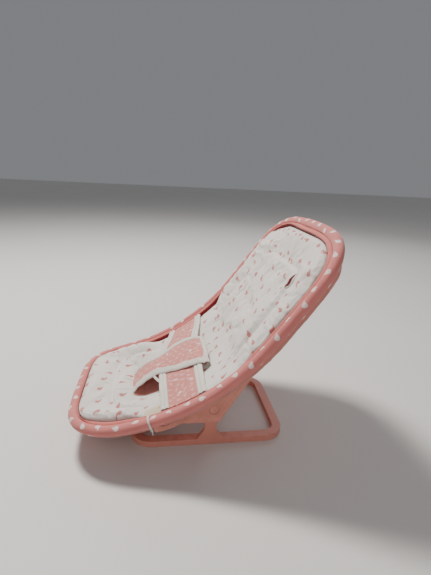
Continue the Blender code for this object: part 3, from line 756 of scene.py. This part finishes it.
def pad_grid():
    """Flat coordinates of the pad's top, row by row."""
    lo, hi, rows = PAD_EDGE.low, PAD_EDGE.high, []
    across = [2 * j / (PAD_COLS - 1) - 1 for j in range(PAD_COLS)]
    for i in range(PAD_ROWS):
        f = i / (PAD_ROWS - 1)
        u = lo + (hi - lo) * (f - 0.018 * sin(2 * pi * f))
        w = PAD_EDGE.half_width(u)
        rows.append([(w * (g + 0.03 * sin(pi * g)), u) for g in across])
    return rows


def simulate(obj, held):
    """Blow the pad up a little against its sewn lines, so that the cloth gathers by itself."""
    group = obj.vertex_groups.new(name="held")
    for i, weight in enumerate(held):
        if weight > 0:
            group.add([i], weight, "REPLACE")
    start = [v.co.copy() for v in obj.data.vertices]
    mod = obj.modifiers.new("Cloth", "CLOTH")
    settings = dict(quality=5, mass=0.12, tension_stiffness=12, compression_stiffness=12,
                    shear_stiffness=5, bending_stiffness=0.25, tension_damping=8,
                    compression_damping=8, vertex_group_mass="held", pin_stiffness=1.0,
                    shrink_min=-0.035, shrink_max=-0.035, use_pressure=True,
                    uniform_pressure_force=0.6)
    for key, value in settings.items():
        setattr(mod.settings, key, value)
    mod.settings.effector_weights.gravity = 0
    mod.collision_settings.use_collision = False
    scene = bpy.context.scene
    scene.frame_start, scene.frame_end = 1, SIM_FRAMES
    mod.point_cache.frame_start, mod.point_cache.frame_end = 1, SIM_FRAMES
    for frame_number in range(1, SIM_FRAMES + 1):
        scene.frame_set(frame_number)
    blown = obj.evaluated_get(bpy.context.evaluated_depsgraph_get())
    moved = [v.co.copy() for v in blown.to_mesh().vertices]
    blown.to_mesh_clear()
    obj.modifiers.remove(mod)
    obj.vertex_groups.remove(group)
    scene.frame_set(1)
    for v, a, b, weight in zip(obj.data.vertices, start, moved, held):
        step = (b - a) * (1 - weight)
        if step.length > SIM_CAP:
            step *= SIM_CAP / step.length
        v.co = a + step


def surface_of(flat, lift):
    """Height of the finished pad as a function of x and u, for the small pieces that lie on it."""
    tree = tree_of(flat)

    def height(x, u):
        near = tree.find_n((x, u, 0), 4)
        weights = [1 / (d + 0.05) for _, _, d in near]   # 0.05 mm keeps the nearest one finite
        raised = sum(lift[i] * w for (_, i, _), w in zip(near, weights)) / sum(weights)
        return pad_height(x, u) + raised

    return height


def pad_grip(x, u, e):
    """How firmly the simulation holds a point: along the edge, the seam, the belt and the slit."""
    q = abs(PANEL.distance(x, u)[0])
    (x0, u0), (x1, u1) = SLOT_FROM, SLOT_TO
    beside = hypot(x - (x0 + x1) / 2 - 1, (u - (u0 + u1) / 2) * 0.55)
    return max(1 - smooth((q - 0.9) / 2.2), 1 - smooth((e - 0.8) / 2.5),
               0.92 * smooth((u - 60) / 20) * smooth((182 - u) / 18),
               1 - smooth((beside - 5.0) / 5.0))


def pad_under(x, u):
    """Underside of the pad: clear of the cover, and thin towards the pad's edge."""
    upper, e = pad_top(x, u)
    h = max(cover_mid(x, u) + 2.8, min(upper - 2.0, cover_mid(x, u) + 7.0))
    thin = 2.2 - 1.2 * lap(u)
    return min(h + (upper - thin - h) * (1 - smooth((e - 1.8) / 6.0)), upper - 0.8)


def build_pad():
    """The quilted pad with its two rows of stitches; gives the height of its finished top."""
    bm, weave, held = bmesh.new(), {}, []
    grid = pad_grid()
    edges = [[i in (0, PAD_ROWS - 1) or j in (0, PAD_COLS - 1) for j in range(PAD_COLS)]
             for i in range(PAD_ROWS)]

    def vertex(x, u, h, grip):
        v = bm.verts.new(place(x, u, h))
        weave[v] = (x, u, 0)
        held.append(grip)
        return v

    top = []
    for row, on_edge in zip(grid, edges):
        top.append([])
        for (x, u), edge in zip(row, on_edge):
            h, e = (edge_bottom(u), 0) if edge else pad_top(x, u)
            top[-1].append(vertex(x, u, h, 1.0 if edge else pad_grip(x, u, e)))
    bottom = [[v if edge else vertex(x, u, pad_under(x, u), 1.0)
               for v, (x, u), edge in zip(*rows)] for rows in zip(top, grid, edges)]
    for i in range(PAD_ROWS - 1):
        for j in range(PAD_COLS - 1):
            corners = ((i, j), (i + 1, j), (i + 1, j + 1), (i, j + 1))
            upper = [top[a][b] for a, b in corners]
            lower = [bottom[a][b] for a, b in corners]
            bm.faces.new(upper)
            if set(lower) != set(upper):
                bm.faces.new((lower[0], lower[3], lower[2], lower[1]))
    pad = finish_piece("quilted_pad", bm, "pad", "seat", weave)
    before = [v.co.copy() for v in pad.data.vertices]
    simulate(pad, held)
    flat = [spot for row in grid for spot in row]
    lift = []
    for (_, u), v, start in zip(flat, pad.data.vertices, before):
        a = profile(u)[2]
        step = v.co - start
        lift.append((step.z * cos(a) - step.y * sin(a)) / MM)
    fine = pad.modifiers.new("Smooth", "SUBSURF")
    fine.levels = fine.render_levels = 1
    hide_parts("seat_pad", "pad_backing", "pad_wadding")

    def edge_spot(p, n):
        x, u = p.x - 0.2 * n.x, p.y - 0.2 * n.y
        return x, u, pad_height(x, u) + pad_edge_drop(0.35) + 0.1

    loop_stitches("pad_seam_stitches", PANEL, 2.6, 0.62,
                  lambda p, n: (p.x, p.y, pad_height(p.x, p.y) + 0.1), "white_stitch")
    loop_stitches("pad_edge_stitches", PAD_EDGE, 2.9, 0.55, edge_spot, "red_stitch", 0.22)
    return surface_of(flat, lift)


# ---- belt slot in the back of the pad ----
def slot_line(t):
    """Middle of the slit, t from 0 to 1, with its outward normal and half width."""
    (x0, u0), (x1, u1) = SLOT_FROM, SLOT_TO
    span = hypot(x1 - x0, u1 - u0)
    tx, tu = (x1 - x0) / span, (u1 - u0) / span
    bulge = SLOT_BULGE * sin(pi * t)
    x, u = x0 + (x1 - x0) * t + tu * bulge, u0 + (u1 - u0) * t - tx * bulge
    return x, u, tu, -tx, SLOT_WIDE * sin(pi * t) ** 0.8 + 0.05


def build_slot(surface):
    """A worn slit for a harness belt: a dark red sheet inside paints the shaded opening, a rolled white
    lip outside.
    """
    # painted shade: this dark red sheet stands for the shaded pink cloth inside the slit's opening
    def lining(i, j):
        x, u, nx, nu, half = slot_line(i / 24)
        b = (j / 8 * 2 - 1) * half
        x, u = x + nx * b, u + nu * b
        hollow = 0.5 * (1 - (b / (half + 0.01)) ** 2)
        return x, u, surface(x, u) + 1.15 - hollow + 0.12 * ripple(i * 0.4, j * 0.5, 33.0)

    def lip(i, j, side, thick):
        t = -0.06 + 1.12 * i / 30
        x, u, nx, nu, half = slot_line(min(max(t, 0.0), 1.0))
        taper = sin(pi * i / 30) ** 0.5
        a = 2 * pi * j / 10
        wide = thick * 1.25 * taper + 0.05
        b = side * (half + 0.6 * wide) + wide * cos(a) + 0.25 * ripple(i * 0.35, 41.0 + side)
        x, u = x + nx * b, u + nu * b
        tall = thick * taper + 0.04
        return x, u, surface(x, u) + 0.55 + tall * sin(a) + 0.12 * ripple(i * 0.5, j, 43.0)

    piece = loft("slot_shade_sheet", "slit", "seat", 25, 9, lining, lambda i, j: (i * 0.8, j * 0.6, 0))
    for side, thick, name in ((1, 1.15, "slot_lip_outer"), (-1, 0.5, "slot_lip_inner")):
        loft(name, "white", "seat", 31, 10, lambda i, j: lip(i, j, side, thick),
             lambda i, j: (i * 0.7, j * 0.6, 0), wrap_v=True, caps=True)


# ---- cover under the seat ----
def build_cover():
    nu, nv = 170, 110
    edge, hem = Loop(OUTLINE, COVER_INSET), Loop(OUTLINE, HEM_INSET)

    def point(i, j):
        f = i / (nu - 1)
        f = 0.5 * f + 0.5 * (0.5 - 0.5 * cos(pi * f))
        u = edge.low + (edge.high - edge.low) * f
        g = 2 * j / (nv - 1) - 1
        g = 0.45 * g + 0.55 * sin(pi / 2 * g)
        x = edge.half_width(u) * g
        d, s = edge.distance(x, u)
        d = max(d, 0.0)
        h = through([(0, -3.3), (1.1, -4.8), (2.2, -6.8), (3.3, -11.4), (5.8, -14.6), (14.7, -17.4),
                     (62, -20.4)], d)
        tuck = smooth(d / 3)
        h += 0.7 * tuck * exp(-d / 9.0) * ripple(s * 0.16, 17.0)
        h += 0.6 * tuck * ripple(x * 0.04, u * 0.04, 19.0)
        h += 0.28 * tuck * ripple(x * 0.02 + u * 0.11, x * 0.05, 22.0) * smooth((d - 6) / 20)
        h += 0.3 * tuck * exp(-d / 14.0) * ripple(s * 0.4, d * 0.1, 18.0)
        return x, u, h

    cover = loft("underside_cloth", "cover", "seat", nu, nv, point,
                 lambda i, j: (*point(i, j)[:2], 0))
    thicken(cover, 0.6)
    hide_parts("underside_cover")
    loop_stitches("cover_hem_stitches", hem, 2.8, 0.6, lambda p, n: (p.x, p.y, -5.9), "stitch", 0.2,
                  "pink_cotton")


# ---- harness ----
def strap_mid(u):
    """Height of the crotch strap's middle above the rim plane."""
    return through([(56, -7.4), (63, -3), (69, 2), (81, 6.8), (93, 8.4), (118, 8.6), (130, 7.4),
                    (142, 4.2), (147.5, 0.4), (152.5, -4.6)], u)


def strap_half(u):
    """Half width of the crotch strap."""
    return through([(56, 23), (69, 21.5), (81, 20), (93, 19), (105, 24), (118, 30), (130, 32),
                    (145, 32), (150, 29), (152.5, 25)], u)


def belt_mid(x, u):
    """Height of the waist belt's middle above the rim plane."""
    centre = 4.6 - 4.6 * smooth((u - 116) / 28)
    reach = smooth((abs(x) - 32) / 52)
    return centre + (1.2 - centre) * reach


def band(name, along, half, spot, thick, look, body, seed, across, rough, power=5.0,
         grooves=0.0):
    """Flat sewn band: spot(a, b, h) gives flat coordinates, with b from -half(a) to half(a)."""
    halves = [half(a) for a in along]

    def section(j):
        side = 1 if j < across else -1
        t = (j + 0.5) / across if side > 0 else 1 - (j - across + 0.5) / across
        lift = (1 - abs(2 * t - 1) ** power) ** (1 / 2.2)
        return side, 0.5 - 0.5 * cos(pi * t) * 0.35 - 0.325 * (1 - 2 * t), lift

    def point(i, j):
        a, w = along[i], halves[i]
        side, t, lift = section(j)
        b = 2 * w * min(max(t, 0.0), 1.0) - w
        h = side * thick / 2 * lift
        h += rough * ripple(a * 0.22, b * 0.22, seed) + 0.5 * rough * ripple(a * 0.8, b * 0.5, seed + 5)
        if grooves and side > 0:
            h += grooves * cos(2 * pi * 2.5 * (b + w) / (2 * w)) * lift
            h += 0.5 * grooves * ripple(a * 0.9, b * 0.25, seed + 9)
        return spot(a, b, h)

    def cloth(i, j):
        return along[i], halves[i] * (2 * section(j)[1] - 1) + seed, 0

    return loft(name, look, body, len(along), 2 * across, point, cloth, wrap_v=True, caps=True,
                smooth_angle=75)


FOLD = ([(1 - k / 9, 1) for k in range(10)]
        + [(-0.001, cos(pi * k / 6)) for k in range(1, 6)]
        + [(k / 9, -1) for k in range(10)])


def binding(name, along, outer, inner, spot, body, seed):
    """Bias tape folded over a raw edge: outer(a) is the edge, inner(a) where the tape is sewn."""
    half_thick = 1.25

    def point(i, j):
        a = along[i]
        t, side = FOLD[j]
        lo, hi = outer(a), inner(a)
        turn = sqrt(max(1 - abs(side) ** 2, 0)) * 0.09
        puff = 1 - 0.35 * t ** 4 - 0.25 * (1 - min(t / 0.2, 1)) ** 2
        ridge = (0.42 * cos(4 * pi * (t - 0.25)) - 0.1) * (1 if side > 0 else 0)
        b = lo + (hi - lo) * max(t, 0) - (hi - lo) * turn
        b += 0.45 * ripple(a * 0.11, seed) * (1 - 0.5 * t) + 0.25 * ripple(a * 0.35, t * 3, seed)
        pucker = 0.22 * ripple(a * 0.55, t * 1.2, seed + 3) + 0.12 * ripple(a * 1.3, t * 2, seed + 7)
        h = side * (half_thick * puff + (pucker if side > 0 else 0.3 * pucker)) + ridge
        return spot(a, b, h)

    piece = loft(name, "white", body, len(along), len(FOLD), point,
                 lambda i, j: (j * 0.9 + seed, along[i], 0), smooth_angle=85)
    thicken(piece, 0.4)
    return piece


def bound_edge(node, along, way, half, spot, body, seed, count):
    """Binding along one edge of a band, half(a) from its middle, with its row of stitches."""
    piece = binding(node + "_cloth", along, lambda a: way * half(a),
                    lambda a: way * (half(a) - BINDING), spot, body, seed)
    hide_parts(node)

    def thread(k):
        places = [along[0] + 1 + (k + t) * STITCH_PITCH for t in (0, 0.6)]
        return [spot(a, way * (half(a) - BINDING / 2), 1.0) for a in places]

    stitch_row(node.replace("binding", "stitches"), count, thread, "tan_stitch", body)


def grip_tape(node, body, xs, us, middle, face, pitch, reach):
    """Hook or loop tape: a thin woven backing with rows of bent bristles on its face."""
    def skin(i, j):
        x = xs[0] + (xs[1] - xs[0]) * i / 18
        u = us[0] + (us[1] - us[0]) * (j if j < 13 else 25 - j) / 12
        px, pu, h = middle(x, u)
        weave = 0.05 * sin(x * 4.0) * sin(u * 4.0)
        return px, pu, h + (0.16 if j < 13 else -0.16) + weave

    backing = loft(node + "_backing", "loop", body, 19, 26, skin,
                   lambda i, j: (i * 1.2, j * 1.2, 0), wrap_v=True, caps=True)
    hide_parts(node)
    across, down = [int((hi - lo - 1) / pitch) for lo, hi in (xs, us)]

    def bristle(k):
        i, j = k // 2 % across, k // 2 // across
        x = xs[0] + 0.6 + i * pitch + 0.18 * ripple(i * 3.1, j * 2.7, 51.0)
        u = us[0] + 0.6 + j * pitch + 0.18 * ripple(i * 2.3, j * 3.3, 52.0)
        px, pu, h = middle(x, u)
        foot, top = h + face * 0.12, h + face * (0.16 + reach)
        bend = 0.3 * (1 if (i + j) % 2 else -1)
        if k % 2 == 0:
            return [(px, pu, foot), (px + bend * 0.4, pu, top)]
        return [(px + bend * 0.4, pu, top), (px + bend * 1.6, pu, top - face * reach * 0.4)]

    stitch_row(node + "_bristles", 2 * across * down, bristle, "bristle", body, 0.1)


def build_strap():
    body = "crotch_strap"
    along = [56 + 94.8 * i / 84 for i in range(85)]

    def spot(a, b, h):
        edge = abs(b) / max(strap_half(a), 1e-6)
        curl = -1.5 * edge ** 3 * smooth((a - 62) / 20)
        return b, a, strap_mid(a) + curl + h

    strap = band("crotch_strap_cloth", along, lambda a: strap_half(a) - BINDING + 0.8, spot, 1.5,
                 "belt", body, 2.0, 22, 0.25)
    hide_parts("crotch_strap")
    for side, tag in ((-1, "left"), (1, "right")):
        bound_edge("crotch_strap_binding_" + tag, along, side, strap_half, spot, body, 20.0 + side,
                   38)
    # the strap's free end is bound as well
    end_u, half_end = 151.4, strap_half(151.0) - 2.5
    across = [-half_end + 2 * half_end * i / 48 for i in range(49)]

    def end_edge(x):
        return end_u - 2.2 * (abs(x) / half_end) ** 4

    end = binding("crotch_strap_end_binding_cloth", across, end_edge, lambda x: end_edge(x) - 2.8,
                  lambda x, u, h: spot(u, x, h + 0.35), body, 24.0)
    2 * half_end * MM

    def end_thread(k):
        places = [-half_end + (k + t) * half_end / 10 for t in (0.2, 0.8)]
        return [spot(end_edge(x) - 1.7, x, 1.5) for x in places]

    stitch_row("crotch_strap_end_stitches", 20, end_thread, "tan_stitch", body)
    grip_tape("crotch_strap_hook_tape", body, (-13.0, 13.0), TAPE_U,
              lambda x, u: (x, u, strap_mid(u) - 1.5 - 1.5 * (abs(x) / strap_half(u)) ** 3),
              -1, 1.0, 0.42)


def build_belts():
    along = [BELT_RUN * i / 64 for i in range(65)]
    for side, tag, drift in ((-1, "left", 14.0), (1, "right", 0.0)):
        body = "waist_belt_" + tag

        def spot(a, b, h):
            end = RIM.half_width(BELT_MID_U + b + drift) - BELT_INSET
            x = BELT_START + (end - BELT_START) * (a / BELT_RUN)
            slant = drift * smooth((x - 14) / 74)
            return side * x, BELT_MID_U + b + slant, belt_mid(x, BELT_MID_U + b) + h

        cloth = band(body + "_cloth", along, lambda a: BELT_HALF - BINDING + 0.8, spot, 1.5,
                     "belt", body, 30.0 + side, 22, 0.22)
        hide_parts(body)
        for edge, way in (("lower", -1), ("upper", 1)):
            bound_edge("%s_%s_binding" % (body, edge), along, way, lambda a: BELT_HALF, spot, body,
                       40.0 + side + len(edge) * 3, 32)
        grip_tape(body + "_loop_tape", body, (-13.5, -5.0) if side < 0 else (5.0, 13.5), TAPE_U,
                  lambda x, u: (x, u, belt_mid(x, u) + 1.45), 1, 0.8, 0.34)


# ---- lining, tie and loose binding end ----
def build_lining():
    """Pink cloth that shows in the opening under the crotch strap."""
    def point(i, j):
        x, u = -26 + 52 * j / 24, 62.0 + 30.5 * i / 24
        return x, u, pad_height(x, u) + 0.55 + 0.2 * ripple(x * 0.1, u * 0.1, 60.0)

    lining = loft("crotch_lining_cloth", "cover", "seat", 25, 25, point,
                  lambda i, j: (2.1 * j, point(i, j)[1], 0))
    thicken(lining, 0.5)
    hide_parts("crotch_lining")


def build_tie():
    """Elastic tie, hooked over the rim and knotted under it, with a frayed end."""
    u0 = 83.5
    w = RIM.half_width(u0)

    def tie_spot(a, b, h):
        angle = radians(140 - 218 * a / 40)
        r = 0.9 + h + 0.25 * ripple(a * 0.3, b * 0.4, 70.0)
        return (w + (RIM_A + r) * cos(angle), u0 + b * (1 - 0.25 * a / 40),
                (RIM_B + r) * sin(angle))

    tie = band("elastic_tie_cloth", list(range(41)), lambda a: 1.15, tie_spot, 0.9, "white", "seat",
               71.0, 8, 0.08, power=3.0, grooves=0.12)
    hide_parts("elastic_tie")
    knot_x, knot_u, knot_h = w + 5.4, u0 - 0.2, -5.0

    def knot_point(i, j):
        a, b = 2 * pi * i / 28, 2 * pi * j / 10
        thick = 0.62 + 0.12 * ripple(i * 0.5, j * 0.7, 72.0)
        ring = 1.35 + 0.15 * sin(2 * a + 0.6) + thick * cos(b)
        return (knot_x + ring * cos(a) * 0.55 + thick * sin(b) * 0.8,
                knot_u + ring * cos(a) * 0.7, knot_h + ring * sin(a))

    loft("elastic_tie_knot", "white", "seat", 28, 10, knot_point,
         lambda i, j: (i * 0.4, j * 0.5, 0), wrap_u=True, wrap_v=True)

    def fibre(k):
        part, strand = k % 4, k // 4
        ends = []
        for t in (part / 4, (part + 1) / 4):
            spread = 0.5 + 1.4 * t
            out = 0.6 + (0.5 + 1.7 * t) * 0.7
            ends.append((knot_x + out + spread * 0.5 * ripple(strand * 1.7, t, 73.0),
                         knot_u + spread * ripple(strand * 2.3, t * 1.3, 74.0),
                         knot_h - 0.9 - 2.6 * t + 0.4 * ripple(strand * 3.1, t, 75.0)))
        return ends

    stitch_row("elastic_tie_frays", 4 * 14, fibre, "white_stitch", "seat", 0.14)


def build_tail():
    """Loose end of the near belt's lower binding, curled out beside the strap."""
    length = 13

    def tail_spot(a, b, h):
        t = a / length
        lift = belt_mid(33.0, 95.0) - 0.4 - 1.1 * sin(pi * t) + 2.2 * t * t + 0.25 * b * t
        return 33.6 - 0.93 * a - 0.30 * b, 95.6 - 0.44 * a + 0.62 * b - t * t, lift + h

    tail = band("binding_tail_cloth", [length * i / 26 for i in range(27)], lambda a: 2.0, tail_spot,
                1.1, "white", "waist_belt_right", 81.0, 10, 0.15, power=3.0, grooves=0.22)


# ---- plastic and steel ----
def dress_cad_nodes():
    """Steel screws, and moulded plastic for every other CAD node that no piece stands for."""
    for name, node in NODES.items():
        if not node.hide_render:
            look = "steel" if name.startswith("bracket_screw") else "plastic"
            node.data.materials.clear()
            node.data.materials.append(MAT[look])


def build_pin_gap_shade(tag):
    """Painted shade: a thin dark ring in the gap under a pivot pin's head, where the gap's shade falls.
    """
    (x0, y0, z0), (x1, y1, z1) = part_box("pivot_pin_" + tag)
    radius = (z1 - z0) / 2 + 0.35 * MM
    face = x1 - PIN_GAP_SHADE_DEPTH * MM if tag == "right" else x0 + PIN_GAP_SHADE_DEPTH * MM
    middle = Vector((face, (y0 + y1) / 2, (z0 + z1) / 2))
    bm, rings = bmesh.new(), []
    turns = [2 * pi * j / 10 for j in range(10)]
    for i in range(48):
        a = 2 * pi * i / 48
        out = Vector((0, cos(a), sin(a)))
        rings.append([bm.verts.new(middle + out * (radius + 0.42 * MM * cos(b))
                                   + Vector((0.3 * MM * sin(b), 0, 0))) for b in turns])
    for r0, r1 in zip(rings, rings[1:] + rings[:1]):
        join_rings(bm, r0, r1)
    finish_piece("pivot_gap_shade_" + tag, bm, "pin_gap_shade", "seat")


add_camera()
add_stage()
build_rim()
pad_surface = build_pad()
build_slot(pad_surface)
build_cover()
build_strap()
build_belts()
build_lining()
build_tie()
build_tail()
dress_cad_nodes()
# rings of painted shade round the pivot pins
for pin in ("left", "right"):
    build_pin_gap_shade(pin)
